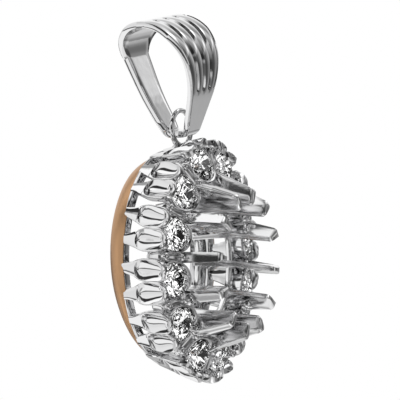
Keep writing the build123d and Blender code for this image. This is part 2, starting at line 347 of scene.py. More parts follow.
def skin(sections, closed=True):
    """Points and faces of a tube through sections, closed in itself or capped."""
    size = len(sections[0])
    points = [point for section in sections for point in section]
    faces = []
    spans = len(sections) if closed else len(sections) - 1
    for row in range(spans):
        after = (row + 1) % len(sections)
        for k in range(size):
            other = (k + 1) % size
            faces.append((row * size + k, row * size + other, after * size + other, after * size + k))
    if not closed:
        faces.append(tuple(range(size))[::-1])
        faces.append(tuple(len(points) - size + k for k in range(size)))
    return points, faces


def turned_profile(profile, angle):
    """Points of a profile of radius and height, turned round the Z axis."""
    return [Vector((r * math.cos(angle), r * math.sin(angle), z)) for r, z in profile]


def piece(name, mesh, material, body, slot, *nodes):
    """Object for a finished mesh that rides on a body and stands for nodes of the frame."""
    item = bpy.data.objects.new(name, mesh)
    bpy.context.scene.collection.objects.link(item)
    if material is not None:
        mesh.materials.clear()
        mesh.materials.append(material)
    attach(item, body)
    if nodes:
        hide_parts(*nodes)
    return item


def add_node(tree, kind, inputs, **settings):
    """Outputs of a new node; each of its inputs is given a value or the socket that feeds it."""
    node = tree.nodes.new(kind)
    for name, value in settings.items():
        setattr(node, name, value)
    for name, value in inputs.items():
        if isinstance(value, bpy.types.NodeSocket):
            tree.links.new(value, node.inputs[name])
        else:
            node.inputs[name].default_value = value
    return node.outputs


def new_tree(name, inputs):
    """Geometry node tree with inputs given as name, kind and default, and one geometry output."""
    tree = bpy.data.node_groups.new(name, "GeometryNodeTree")
    for title, kind, default in inputs:
        socket = tree.interface.new_socket(title, in_out="INPUT", socket_type="NodeSocket" + kind)
        if default is not None:
            socket.default_value = default
    tree.interface.new_socket("Geometry", in_out="OUTPUT", socket_type="NodeSocketGeometry")
    return tree


def end_tree(tree, geometry, material):
    """Ends a tree in Realize Instances and Set Material."""
    realized = add_node(tree, "GeometryNodeRealizeInstances", {"Geometry": geometry})
    inputs = {"Geometry": realized["Geometry"], "Material": material}
    finished = add_node(tree, "GeometryNodeSetMaterial", inputs)
    add_node(tree, "NodeGroupOutput", {"Geometry": finished["Geometry"]})
    return tree


def copies_tree():
    """Node tree that sets a template on every point, turned and stretched by the point's attributes."""
    tree = new_tree("copies", (
        ("Points", "Geometry", None),
        ("Template", "Object", None),
        ("Size", "Float", 1.0),
        ("Material", "Material", None),
    ))
    given = add_node(tree, "NodeGroupInput", {})
    template = add_node(tree, "GeometryNodeObjectInfo", {"Object": given["Template"]})
    held = []
    for name in ("turn", "stretch"):
        outputs = add_node(tree, "GeometryNodeInputNamedAttribute", {"Name": name}, data_type="FLOAT_VECTOR")
        held.append(outputs["Attribute"])
    rotation = add_node(tree, "FunctionNodeEulerToRotation", {"Euler": held[0]})
    scaled = add_node(tree, "ShaderNodeVectorMath", {0: held[1], "Scale": given["Size"]}, operation="SCALE")
    placed = add_node(tree, "GeometryNodeInstanceOnPoints", {
        "Points": given["Points"],
        "Instance": template["Geometry"],
        "Rotation": rotation["Rotation"],
        "Scale": scaled["Vector"],
    })
    return end_tree(tree, placed["Instances"], given["Material"])


def oval_tree():
    """Node tree that carries a rounded rectangle round an upright oval."""
    tree = new_tree("oval rail", (
        ("Geometry", "Geometry", None),
        ("Half Width", "Float", 5 * MM),
        ("Half Height", "Float", 7 * MM),
        ("Wall", "Float", 0.5 * MM),
        ("Thickness", "Float", 0.5 * MM),
        ("Rounding", "Float", 0.1 * MM),
        ("Steps", "Int", 160),
        ("Centre", "Vector", None),
        ("Material", "Material", None),
    ))
    given = add_node(tree, "NodeGroupInput", {})
    circle = add_node(tree, "GeometryNodeCurvePrimitiveCircle", {"Resolution": given["Steps"], "Radius": 1.0})
    stretch = add_node(tree, "ShaderNodeCombineXYZ", {
        "X": given["Half Width"],
        "Y": given["Half Height"],
        "Z": 1.0,
    })
    oval = add_node(tree, "GeometryNodeTransform", {"Geometry": circle["Curve"], "Scale": stretch["Vector"]})
    section = add_node(tree, "GeometryNodeCurvePrimitiveQuadrilateral", {
        "Width": given["Wall"],
        "Height": given["Thickness"],
    })
    rounded = add_node(tree, "GeometryNodeFilletCurve", {
        "Curve": section["Curve"],
        "Count": 4,
        "Radius": given["Rounding"],
    }, mode="POLY")
    swept = add_node(tree, "GeometryNodeCurveToMesh", {
        "Curve": oval["Geometry"],
        "Profile Curve": rounded["Curve"],
    })
    raised = add_node(tree, "GeometryNodeTransform", {
        "Geometry": swept["Mesh"],
        "Translation": given["Centre"],
        "Rotation": (math.pi / 2, 0.0, 0.0),
    })
    smooth = add_node(tree, "GeometryNodeSetShadeSmooth", {"Geometry": raised["Geometry"]})
    return end_tree(tree, smooth["Geometry"], given["Material"])


def run_tree(name, maker, mesh, values):
    """Plain mesh that a named tree makes from a mesh and the values of its named inputs."""
    tree = bpy.data.node_groups.get(name) or maker()
    holder = bpy.data.objects.new("holder", mesh)
    bpy.context.scene.collection.objects.link(holder)
    modifier = holder.modifiers.new("shape", "NODES")
    modifier.node_group = tree
    for item in tree.interface.items_tree:
        if item.in_out == "INPUT" and item.name in values:
            modifier[item.identifier] = values[item.name]
    bpy.context.view_layer.update()
    graph = bpy.context.evaluated_depsgraph_get()
    result = bpy.data.meshes.new_from_object(holder.evaluated_get(graph), depsgraph=graph)
    holder.modifiers.clear()
    bpy.data.objects.remove(holder)
    return result


def copies(template, places, material):
    """Plain mesh with a copy of a template at each place: a point, a turn and a stretch."""
    mesh = bpy.data.meshes.new("places")
    mesh.from_pydata([tuple(place[0]) for place in places], [], [])
    turned = mesh.attributes.new("turn", "FLOAT_VECTOR", "POINT")
    stretched = mesh.attributes.new("stretch", "FLOAT_VECTOR", "POINT")
    for index, (point, angle, stretch) in enumerate(places):
        turned.data[index].vector = tuple(angle)
        stretched.data[index].vector = stretch
    pattern = bpy.data.objects.new("pattern", template)
    bpy.context.scene.collection.objects.link(pattern)
    values = {"Template": pattern, "Size": 1.0, "Material": material}
    result = run_tree("copies", copies_tree, mesh, values)
    bpy.data.objects.remove(pattern)
    return result


def joined(meshes):
    """One mesh from several."""
    whole = bmesh.new()
    for mesh in meshes:
        whole.from_mesh(mesh)
    mesh = meshes[0].copy()
    whole.to_mesh(mesh)
    whole.free()
    return mesh


def oval_rail(half_width, half_height, wall, thickness, rounding, centre, material):
    """Mesh of a rail whose outer edge is an oval and whose front lies in the centre's plane."""
    return run_tree("oval rail", oval_tree, bpy.data.meshes.new("start"), {
        "Half Width": half_width - wall / 2,
        "Half Height": half_height - wall / 2,
        "Wall": wall,
        "Thickness": thickness,
        "Rounding": rounding,
        "Steps": 192,
        "Centre": tuple(centre + BACK * (thickness / 2)),
        "Material": material,
    })


def range_node(tree, value, low, high, side):
    """Maps a range onto 0 to 1 where the side is From, and 0 to 1 onto a range where it is To."""
    inputs = {"Value": value, side + " Min": low, side + " Max": high}
    return add_node(tree, "ShaderNodeMapRange", inputs)["Result"]


def mix_node(tree, factor, first, second, kind="MIX"):
    """Mix of two colours."""
    inputs = {"Factor": factor, "A": first, "B": second}
    return add_node(tree, "ShaderNodeMix", inputs, data_type="RGBA", blend_type=kind)["Result"]


def noise_node(tree, size, detail=3.0, stretch=(1.0, 1.0, 1.0)):
    """Noise on object coordinates whose grains measure a size in metres."""
    coordinates = add_node(tree, "ShaderNodeTexCoord", {})["Object"]
    vector = add_node(tree, "ShaderNodeMapping", {"Vector": coordinates, "Scale": stretch})["Vector"]
    inputs = {"Vector": vector, "Scale": 1 / size, "Detail": detail}
    return add_node(tree, "ShaderNodeTexNoise", inputs)["Fac"]


def new_material(name, tone, settings):
    """New material with its node tree and its shader, from a colour and other settings of the shader."""
    material = bpy.data.materials.new(name)
    material.use_nodes = True
    shader = material.node_tree.nodes["Principled BSDF"]
    shader.inputs["Base Color"].default_value = (*tone, 1.0)
    for title, value in settings.items():
        shader.inputs[title].default_value = value
    return material, material.node_tree, shader


def add_clouds(tree, shader, size, low, high):
    """Lets the roughness drift between two values; returns the noise that it follows."""
    clouds = noise_node(tree, size)
    tree.links.new(range_node(tree, clouds, low, high, "To"), shader.inputs["Roughness"])
    return clouds


def add_relief(tree, shader, noise, height, strength):
    """Fine relief that follows a noise, with its height in metres."""
    bump = add_node(tree, "ShaderNodeBump", {"Height": noise, "Distance": height, "Strength": strength})
    tree.links.new(bump["Normal"], shader.inputs["Normal"])


def white_gold():
    """Rhodium plated white gold with a mirror polish, faintly uneven from the polishing wheel."""
    found = bpy.data.materials.get("white_gold_polish")
    if found:
        return found
    finish = bpy.context.scene.pendant_finish
    material, tree, shader = new_material("white_gold_polish", finish.white_gold, {"Metallic": 1.0})
    add_clouds(tree, shader, size=0.9 * MM, low=finish.polish * 0.5, high=finish.polish * 1.6)
    waves = noise_node(tree, size=0.7 * MM, detail=2.0)
    add_relief(tree, shader, waves, height=0.02 * MM, strength=0.28)
    return material


def white_gold_satin_lightened():
    """The same metal where the wheel doesn't reach: softer, with fine scratches; its colour is lighter than the
    polished metal's as painted light, brightening the head and the seats, whose faces fall into shade.
    """
    found = bpy.data.materials.get("white_gold_satin_lightened")
    if found:
        return found
    finish = bpy.context.scene.pendant_finish
    material, tree, shader = new_material("white_gold_satin_lightened", finish.inside, {"Metallic": 1.0})
    add_clouds(tree, shader, size=0.6 * MM, low=finish.soft * 0.7, high=finish.soft * 1.3)
    scratches = noise_node(tree, size=0.16 * MM, stretch=(1.0, 0.25, 1.0))
    add_relief(tree, shader, scratches, height=0.006 * MM, strength=0.5)
    return material


def rose_gold():
    """Rose gold with a soft satin polish, whose colour drifts a little."""
    finish = bpy.context.scene.pendant_finish
    material, tree, shader = new_material("rose_gold_satin", finish.rose_gold, {"Metallic": 1.0})
    clouds = add_clouds(tree, shader, size=1.5 * MM, low=finish.satin * 0.85, high=finish.satin * 1.15)
    base = Vector(finish.rose_gold)
    tone = mix_node(tree, clouds, (*(base * 0.94), 1.0), (*(base * 1.06), 1.0))
    tree.links.new(tone, shader.inputs["Base Color"])
    grain = noise_node(tree, size=0.05 * MM, detail=2.0)
    add_relief(tree, shader, grain, height=0.002 * MM, strength=0.4)
    return material


def brilliant():
    """Clear stone with a high refraction."""
    finish = bpy.context.scene.pendant_finish
    settings = {"Transmission Weight": 1.0, "IOR": 2.42}
    material, tree, shader = new_material("brilliant_clear", finish.brilliant, settings)
    add_clouds(tree, shader, size=0.5 * MM, low=0.0, high=0.01)
    return material


# Flutes: their usual length, and their width along it as a share of the full one.
FLUTE_SPAN = 3.9 * MM
FLUTE_WIDTHS = (
    (0.0, 0.44),
    (0.08, 0.46),
    (0.18, 0.56),
    (0.3, 0.74),
    (0.42, 0.92),
    (0.5, 1.0),
    (1.0, 1.06),
)
# Number of sections from the root to the channel, round its start, along it and over the tip.
ROOT_ROWS = 9
START_ROWS = 10
CHANNEL_ROWS = 20
TIP_ROWS = 9
# Sections next to the two ends, as shares of the length; width that is left at the tip, and fall of its top.
ROOT_SHARE = 0.02
END_SHARE = 0.999
TIP_WIDTH = 0.12
TIP_FALL = 0.93
# Points of a section: steps of half the channel, places on a rim, whose side falls, and places underneath.
CHANNEL_STEPS = 8
RIM_POINTS = (0.35, 0.7, 0.92)
RIM_FALL = 0.06 * MM
UNDERSIDE = (1.0, 1.0, 0.9, 0.5, 0.0, -0.5, -0.9, -1.0, -1.0)
# Height of a section's sides below its top, and least metal that is left over a stone.
FLUTE_SIDE = 0.2 * MM
LEAST_FLUTE = 0.1 * MM
# The channel's least half width and the half width of its point, as shares of the flute's half width, and the
# share of its depth that it starts with.
LEAST_CHANNEL = 0.2
CHANNEL_POINT = 0.1
FIRST_DEPTH = 0.8
# Changes along the channel: where each starts and how far it goes on, as shares of the flute, and its amount.
NARROWING = (0.55, 0.3, 0.12)
DEEPENING = (0.4, 0.4, 0.3)
RUNNING_OUT = (0.86, 0.12, 0.75)
# Share of its thickness that a flute lacks underneath at its root, and share of its length where that ends.
ROOT_THINNING = 0.2
THINNING_END = 0.45
# Room for the stone, whose pavilion narrows by the slope and moves off by the drift towards the flute's root.
STONE_GAP = 0.03 * MM
PAVILION_SLOPE = 1.16
FLUTE_DRIFT = 0.225
# Angle in radians from flute to flute in the wave that turns them unevenly.
WOBBLE_STEP = 2.4


def flute_rows(gallery, petal):
    """Places of a flute's sections as shares of its length: root, start of the channel, channel and petal."""
    apex = gallery.channel
    bend = gallery.channel_bend
    quarter = math.pi / 2
    straight = 1 - petal - apex - bend
    rows = [0.0, ROOT_SHARE]
    rows += [ROOT_SHARE + (apex - ROOT_SHARE) * step / ROOT_ROWS for step in range(1, ROOT_ROWS + 1)]
    rows += [apex + bend * (1 - math.cos(quarter * step / START_ROWS)) for step in range(1, START_ROWS + 1)]
    rows += [apex + bend + straight * step / CHANNEL_ROWS for step in range(1, CHANNEL_ROWS + 1)]
    rows += [1 - petal * (1 - math.sin(quarter * step / TIP_ROWS)) for step in range(1, TIP_ROWS)]
    return rows + [END_SHARE]


def change_along(change, part):
    """Amount of a smooth change along a flute, from nothing where it starts to all of it where it ends."""
    start, span, amount = change
    return amount * smooth_step((part - start) / span)


def channel_size(gallery, part, half):
    """Half width and depth of the channel: round at its start, deeper and narrower towards the stone."""
    ahead = min(max((part - gallery.channel) / gallery.channel_bend, 0.0), 1.0)
    opened = math.sqrt(max(0.0, 1 - (1 - ahead) ** 2))
    widest = max(half - gallery.rim, LEAST_CHANNEL * half)
    point = CHANNEL_POINT * half
    width = (point + (widest - point) * opened) * (1 - change_along(NARROWING, part))
    deepening = FIRST_DEPTH + change_along(DEEPENING, part)
    depth = gallery.channel_depth * min(1.0, 2 * opened) * deepening * (1 - change_along(RUNNING_OUT, part))
    return width, depth


def flute_top(gallery, part, half):
    """Outer side of a flute's section: the channel between its two rims."""
    level = gallery.flute_thickness / 2
    channel, depth = channel_size(gallery, part, half)
    points = []
    for step in range(-CHANNEL_STEPS, CHANNEL_STEPS + 1):
        fraction = math.sin(math.pi / 2 * step / CHANNEL_STEPS)
        points.append(Vector((part, fraction * channel, level - depth * (1 - fraction * fraction))))
    for fraction in RIM_POINTS:
        y = channel + (half - channel) * fraction
        fall = RIM_FALL * fraction ** 4
        points.append(Vector((part, y, level - fall)))
        points.insert(0, Vector((part, -y, level - fall)))
    return points


def flute_reach(halo, gallery):
    """Distance of a flute's middle from the middle of its stone."""
    return halo.stone / 2 + gallery.behind - gallery.flute_thickness / 2


def flute_underside(halo, gallery, side, part, half):
    """Inner side of a flute's section, thin at the root and clear of the stone's pavilion."""
    level = gallery.flute_thickness / 2
    thin = gallery.flute_thickness * (ROOT_THINNING * (1 - smooth_step(part / THINNING_END)))
    below = (1 - part) * FLUTE_SPAN
    room = halo.stone / 2 + STONE_GAP - PAVILION_SLOPE * below
    points = []
    for fraction in UNDERSIDE:
        y = fraction * half
        z = thin - level * (1.0 - 0.25 * abs(fraction))
        across = y + side * gallery.spread
        if room > abs(across):
            edge = math.sqrt(room * room - across * across)
            clear = edge - flute_reach(halo, gallery) - FLUTE_DRIFT * below
            z = min(max(z, clear), level - LEAST_FLUTE)
        points.append(Vector((part, y * 0.9, z)))
    for point, fraction in ((points[0], 1.0), (points[-1], -1.0)):
        point.y = fraction * half
        point.z = level - FLUTE_SIDE
    return points


def flute_mesh(context, side):
    """Flute of unit length: X from the root to the stone, Y along the halo, Z outwards."""
    halo = context.scene.pendant_halo
    gallery = context.scene.pendant_gallery
    petal = gallery.petal / FLUTE_SPAN
    rows = flute_rows(gallery, petal)
    middle = gallery.flute_thickness * 0.1
    sections = []
    for part in rows:
        half = between(FLUTE_WIDTHS, part) * gallery.width / 2
        round_end = max(0.0, part - 1 + petal) / petal
        ending = math.sqrt(max(0.0, 1 - round_end * round_end))
        lid = math.sqrt(max(0.0, 1 - (TIP_FALL * round_end) ** 2))
        section = flute_top(gallery, part, half) + flute_underside(halo, gallery, side, part, half)
        for point in section:
            point.y *= TIP_WIDTH + (1 - TIP_WIDTH) * ending
            point.z = (point.z - middle) * lid + middle
        sections.append(section)
    points, faces = skin(sections, closed=False)
    mesh = mesh_of("flute", points, faces, crease=50.0)
    borders = (len(RIM_POINTS), len(RIM_POINTS) + 2 * CHANNEL_STEPS)
    start = min(index for index, part in enumerate(rows) if part >= gallery.channel)

    def on_border(row, column, other_row, other_column):
        """Whether an edge runs along a border of the channel or across its start."""
        along = column == other_column and column in borders and row >= start
        across = row == other_row == start and borders[0] <= min(column, other_column)
        return along or (across and max(column, other_column) <= borders[1])

    sharpen(mesh, len(sections[0]), on_border)
    return mesh


def flute_places(context, side):
    """Places of the flutes on one side of every stone."""
    halo = context.scene.pendant_halo
    gallery = context.scene.pendant_gallery
    centre = halo_centre(context.scene.pendant_head)
    middle = gallery.wall / 2
    places = []
    for index, seat in enumerate(halo_places(context, 0.5)):
        root_turn = (index + 0.5 + side * 0.25) * 2 * math.pi / halo.stones
        root = oval_point(gallery.half_width - middle, gallery.half_height - middle, root_turn)
        root += centre + Vector((0.0, gallery.front + gallery.thickness * 0.6, gallery.rise))
        top = seat.at(side * gallery.spread) + seat.out * flute_reach(halo, gallery)
        line = (top - root).normalized()
        top += line * gallery.tip
        outwards = line.cross(seat.out).normalized().cross(line)
        own_turn = gallery.wobble * math.sin(index * WOBBLE_STEP + side)
        outwards.rotate(Matrix.Rotation(own_turn, 3, line))
        turned = axes_turn(line, outwards.cross(line), outwards)
        places.append((root, turned, ((top - root).length, 1.0, 1.0)))
    return places


# Number of sections round a seat and round a bead.
SEAT_STEPS = 64
BEAD_STEPS = 24
# A seat: play round the stone, bevel of its foot, bend and edge of its wall, and the ledge under the stone.
STONE_PLAY = 0.015 * MM
CUP_FOOT = 0.06 * MM
CUP_BEND = 0.05 * MM
CUP_EDGE = 0.02 * MM
LEDGE_TOP = 0.07 * MM
LEDGE_FOOT = 0.62 * MM


def cup_mesh(halo):
    """Seat of one brilliant: a thin rim towards the flutes that rises to a sloping wall towards the head.

    The profile runs from the light hole's back edge up the outside, over the rim and down to the ledge.
    """
    stone = halo.stone / 2
    inner = stone + STONE_PLAY
    hole = halo.hole / 2
    sections = []
    for angle in full_turn(SEAT_STEPS):
        inwards = max(0.0, -math.sin(angle)) ** 1.5
        lip = halo.cup + (halo.wall - halo.cup) * inwards
        rise = halo.rise + (halo.wall_rise - halo.rise) * inwards
        slope = halo.wall * 0.6 * inwards
        outer = stone + lip + slope
        sections.append(turned_profile((
            (hole, -halo.depth),
            (stone * 0.9, -halo.depth),
            (stone * 0.94, -halo.depth + CUP_FOOT),
            (stone + lip * 0.6, -halo.depth * 0.3),
            (outer - slope * 0.5, -CUP_BEND),
            (outer, rise * 0.55),
            (outer - CUP_EDGE, rise * 0.9),
            (outer - lip * 0.4, rise),
            (inner + slope * 0.9 + CUP_EDGE, rise * 0.85),
            (inner + slope * 0.3, rise * 0.3),
            (inner, 0.0),
            (inner, -LEDGE_TOP),
            (hole, -LEDGE_FOOT),
        ), angle))
    return mesh_of("cup", *skin(sections))


def bead_mesh(halo):
    """Round-headed bead that holds two neighbouring stones; a hair's width stands for its axis."""
    radius = halo.bead / 2
    foot = -halo.bridge_depth / 2
    cap = radius * 0.8
    neck = halo.bead_rise - cap
    hair = 0.0001 * MM
    profile = [(hair, foot), (radius * 0.95, foot), (radius, neck)]
    steps = 7
    for step in range(1, steps):
        angle = math.pi / 2 * step / steps
        profile.append((radius * math.cos(angle), neck + cap * math.sin(angle)))
    profile.append((hair, halo.bead_rise))
    return mesh_of("bead", *skin([turned_profile(profile, angle) for angle in full_turn(BEAD_STEPS)]))


def rounded_box(size, edge, segments):
    """Box with rounded edges round the origin."""
    shape = bmesh.new()
    bmesh.ops.create_cube(shape, size=1.0)
    bmesh.ops.scale(shape, vec=size, verts=shape.verts)
    bmesh.ops.bevel(shape, geom=shape.edges[:], offset=edge, segments=segments, affect="EDGES", profile=0.5)
    return finished_mesh(shape, "rounded box", None)


def rounded_corner(before, corner, after, radius, steps=5):
    """Points of an arc that rounds a corner between two neighbours; without a radius the corner stays."""
    if not radius:
        return [corner]
    first = (before - corner).normalized()
    second = (after - corner).normalized()
    half = first.angle(second) / 2
    reach = radius / math.tan(half)
    centre = corner + (first + second).normalized() * (radius / math.sin(half))
    start = (corner + first * reach - centre).normalized()
    end = (corner + second * reach - centre).normalized()
    return [centre + start.slerp(end, step / steps) * radius for step in range(steps + 1)]


# Plates: rounding of their corners, least width outside a prong's tip, and where the shoulder and the slope
# below it end, as shares of the way from the tip to the halo and from the shoulder to the halo.
SMALL_CORNER = 0.12 * MM
SHOULDER_CORNER = 0.25 * MM
LEAST_SHOULDER = 0.38 * MM
SHOULDER_SHARE = 0.61
SLOPE_SHARE = 0.7
# Width of a plate at the halo and how much narrower its prong is, as shares, and how the tip's sides fall.
PLATE_WIDTH = 1.1
PLATE_TAPER = 0.25
PRONG_FALL = 0.72
# Edges that turn by more than this angle in radians are rounded; those over the crease in degrees look sharp.
BEVEL_ANGLE = 0.9
PLATE_CREASE = 32.0


def plate_outline(head, reach):
    """Outline of a plate as distance outwards and height, from its inner foot round over the prong."""
    outside = min(head.outside, reach - LEAST_SHOULDER)
    shoulder = min(head.shoulder, outside + (reach - outside) * SHOULDER_SHARE)
    low = head.lower + head.rail_height
    corners = (
        (-head.inside - head.inset, -low, SMALL_CORNER),
        (-head.inside, -head.upper, 0.0),
        (-head.inside, head.reach, head.nose * 0.8),
        (outside, head.reach, head.nose),
        (shoulder, head.shoulder_reach, SHOULDER_CORNER),
        (shoulder + (reach - shoulder) * SLOPE_SHARE, head.plate_front, 0.0),
        (reach, head.plate_front, SMALL_CORNER),
        (reach, -head.upper - head.rail_height, SMALL_CORNER),
        (-head.inset, -low, SMALL_CORNER),
    )
    points = [Vector((outwards, height, 0.0)) for outwards, height, rounding in corners]
    outline = []
    for index, point in enumerate(points):
        after = points[(index + 1) % len(points)]
        outline += rounded_corner(points[index - 1], point, after, corners[index][2])
    return outline


def plate_blank(head, outline):
    """Flat plate with rounded edges that narrows to its inner ridge, to its height and over its tip."""
    shape = bmesh.new()
    rims = []
    for offset in (-head.plate / 2, head.plate / 2):
        rims.append([shape.verts.new((point.x, point.y, offset)) for point in outline])
    shape.faces.new(rims[0])
    shape.faces.new(rims[1][::-1])
    for k in range(len(outline)):
        other = (k + 1) % len(outline)
        shape.faces.new((rims[0][k], rims[0][other], rims[1][other], rims[1][k]))
    for spot, direction in (((head.ridge, 0, 0), (1, 0, 0)), ((0, head.reach - head.tip, 0), (0, 1, 0))):
        parts = shape.verts[:] + shape.edges[:] + shape.faces[:]
        bmesh.ops.bisect_plane(shape, geom=parts, dist=1e-7, plane_co=spot, plane_no=direction)
    for vert in shape.verts:
        outwards, height, offset = vert.co
        narrow = 1 - head.ridge_share * max(0.0, head.ridge - outwards) / (head.ridge + head.inside)
        narrow *= PLATE_WIDTH - PLATE_TAPER * min(max(height / head.reach, 0.0), 1.0)
        rounding = max(0.0, height - head.reach + head.tip) / head.tip
        vert.co.z = offset * narrow * math.sqrt(max(0.0, 1 - PRONG_FALL * rounding ** 2))
    bmesh.ops.recalc_face_normals(shape, faces=shape.faces)
    edges = []
    for edge in shape.edges:
        if len(edge.link_faces) == 2 and edge.calc_face_angle() > BEVEL_ANGLE:
            edges.append(edge)
    bmesh.ops.bevel(shape, geom=edges, offset=head.edge, segments=3, affect="EDGES", profile=0.5,
                    clamp_overlap=True, material=1)
    return shape


def plate_mesh(context, gap, angle):
    """Plate of the head, from the halo to the centre stone, which stands on as a prong."""
    halo = context.scene.pendant_halo
    head = context.scene.pendant_head
    centre = halo_centre(head)
    half_width = head.stone_width / 2 + head.margin
    foot = centre + oval_point(half_width, head.stone_length / 2 + head.margin, angle)
    radial = (gap.point - foot).normalized()
    side = radial.cross(-BACK).normalized()
    reach = (gap.point - foot).length - halo.bead_spread / 2 + head.overlap
    shape = plate_blank(head, plate_outline(head, reach))
    ridge = foot + radial * head.ridge
    for vert in shape.verts:
        outwards, height, offset = vert.co
        bent = max(height, 0.0) / head.reach
        # The high power leaves this turn to the highest and the lowest plate.
        own = head.own_turn * bent ** 0.5 * math.cos(angle) ** 12
        spun = Matrix.Rotation(own, 3, "Y") @ (radial * (outwards - head.ridge) + side * offset)
        place = ridge + spun - BACK * height - centre
        place.rotate(Matrix.Rotation(head.twist * bent, 3, "Y"))
        vert.co = centre + place - Vector((0.0, 0.0, head.drop * bent))
    bmesh.ops.recalc_face_normals(shape, faces=shape.faces)
    return finished_mesh(shape, "plate", PLATE_CREASE)


# The bail's side outline from its foot: share of its depth, share of its height, and rounding of the corner
# as a share of its shorter side.
BAIL_OUTLINE = (
    (0.58, 0.0, 0.25),
    (0.821, 0.332, 0.41),
    (1.0, 0.699, 0.25),
    (1.0, 0.836, 0.65),
    (0.77, 1.0, 0.53),
    (0.344, 1.0, 0.56),
    (0.0, 0.756, 0.53),
    (0.0, 0.435, 0.44),
    (0.266, 0.0, 0.27),
)
# Shares of the bail's height where its widths are set and its grooves fade in; the last is one of its depth.
FOOT_SHARE = 0.12
GROOVE_SHARE = 0.355
GROOVE_START = 0.035
BACK_SHARE = 0.69
FRONT_SHARE = 0.72
TOP_SHARE = 0.88
CROWN_SHARE = 0.53
# Length over which the grooves run out before the crown, points on a ridge and its rounding, rounding of the
# band's edges, degrees from point to point on the outline's arcs, and distance between points elsewhere.
GROOVE_END = 0.6 * MM
RIDGE_STEPS = 11
RIDGE_ROUND = 0.09 * MM
BAIL_EDGE = 0.07 * MM
BAIL_ARC = 2.5
BAIL_STEP = 0.12 * MM


def bail_path(bail):
    """Points of the bail's outer side outline and its inward directions, anticlockwise from the foot."""
    corners = []
    for depth, height, rounding in BAIL_OUTLINE:
        corners.append(Vector((depth * bail.depth - bail.ahead, height * bail.height - bail.drop, 0.0)))
    path = []
    for index, corner in enumerate(corners):
        before = corner - corners[index - 1]
        after = corners[(index + 1) % len(corners)] - corner
        reach = BAIL_OUTLINE[index][2] * min(before.length, after.length)
        before = before.normalized()
        after = after.normalized()
        half = before.angle(after) / 2
        radius = reach / math.tan(half)
        inward = Vector((-before.y - after.y, before.x + after.x, 0.0)).normalized()
        centre = corner + inward * (radius / math.cos(half))
        first = Vector((before.y, -before.x, 0.0))
        last = Vector((after.y, -after.x, 0.0))
        steps = max(4, int(math.degrees(2 * half) / BAIL_ARC))
        for step in range(steps + 1):
            normal = first.slerp(last, step / steps)
            path.append((centre + normal * radius, -normal))
    return path


def spaced(path, gap):
    """Path with more points on its straight stretches."""
    result = []
    for index, (point, inward) in enumerate(path):
        after, next_inward = path[(index + 1) % len(path)]
        steps = max(1, int((after - point).length / gap))
        for step in range(steps):
            part = step / steps
            result.append((point.lerp(after, part), inward.lerp(next_inward, part).normalized()))
    return result


def ridge_depth(bail, fraction):
    """Depth of the ridged front at a place across it, from -1 to 1; its two edges have no groove."""
    place = (fraction + 1) / 2 * bail.ridges
    near = min(place % 1.0, 1 - place % 1.0)
    dip = 0.0
    if 0.5 <= place <= bail.ridges - 0.5:
        dip = max(0.0, 1 - near / (bail.groove / 2)) ** 0.8
    round_over = RIDGE_ROUND * (1 - (2 * min(abs(place % 1.0 - 0.5), 0.5)) ** 2)
    return bail.groove_depth * dip - round_over + RIDGE_ROUND


def bail_section(bail, half, front):
    """Section of the band: its front, its rounded edges and its inner side."""
    small = BAIL_EDGE * 0.3
    rim = [(half, BAIL_EDGE), (half, bail.wall - BAIL_EDGE), (half - small, bail.wall - small)]
    rim.append((half - BAIL_EDGE, bail.wall))
    section = [(BAIL_EDGE - half, front[0][1])] + front[1:-1] + [(half - BAIL_EDGE, front[-1][1])]
    section += [(half - small, small)] + rim
    section += [(part * half, bail.wall) for part in (0.6, 0.2, -0.2, -0.6)]
    return section + [(-x, depth) for x, depth in rim[::-1]] + [(small - half, small)]


def bail_mesh(bail):
    """Closed band bent into a drop, with ridges down its front."""
    crown = CROWN_SHARE * bail.depth - bail.ahead
    foot = [(0.0, bail.tip), (FOOT_SHARE, bail.foot)]
    front_widths = foot + [(FRONT_SHARE, bail.front), (TOP_SHARE, bail.top)]
    back_widths = foot + [(BACK_SHARE, bail.back), (1.0, bail.top)]
    lean = Matrix.Rotation(-math.atan2(CHAIN_AXIS.z, CHAIN_AXIS.x), 3, "Y")
    fractions = []
    for ridge in range(bail.ridges):
        fractions += [(ridge + step / RIDGE_STEPS) / bail.ridges * 2 - 1 for step in range(RIDGE_STEPS)]
    fractions.append(1.0)
    ridges = [(fraction, ridge_depth(bail, fraction)) for fraction in fractions]
    sections = []
    for point, inward in spaced(bail_path(bail), BAIL_STEP):
        level = (point.y + bail.drop) / bail.height
        ahead = point.x < crown
        half = between(front_widths if ahead else back_widths, level) / 2
        fade = 0.0
        if ahead:
            fade = smooth_step((level - GROOVE_SHARE) / GROOVE_START)
            fade *= smooth_step((crown - point.x) / GROOVE_END)
        front = [(fraction * half, fade * depth) for fraction, depth in ridges]
        ring = []
        for x, depth in bail_section(bail, half, front):
            place = point + inward * depth
            ring.append(RING + lean @ Vector((x, place.x, place.y)))
        sections.append(ring)
    points, faces = skin(sections)
    return mesh_of("bail", points, faces, crease=32.0)


class PENDANT_OT_bail(bpy.types.Operator):
    """Builds the ridged bail"""

    bl_idname = "pendant.bail"
    bl_label = "Bail"

    def execute(self, context):
        mesh = bail_mesh(context.scene.pendant_bail)
        piece("bail_band", mesh, white_gold(), "bail", "white_gold", "bail")
        return {"FINISHED"}


class PENDANT_OT_flutes(bpy.types.Operator):
    """Builds the fluted gallery, two flutes for each stone"""

    bl_idname = "pendant.flutes"
    bl_label = "Flutes"

    def execute(self, context):
        meshes = []
        for side in (-1, 1):
            meshes.append(copies(flute_mesh(context, side), flute_places(context, side), white_gold()))
        piece("flutes", joined(meshes), white_gold(), "pendant", "white_gold")
        return {"FINISHED"}


# Rounding of the rails' edges.
BASE_RAIL_ROUNDING = 0.1 * MM
HEAD_RAIL_ROUNDING = 0.12 * MM


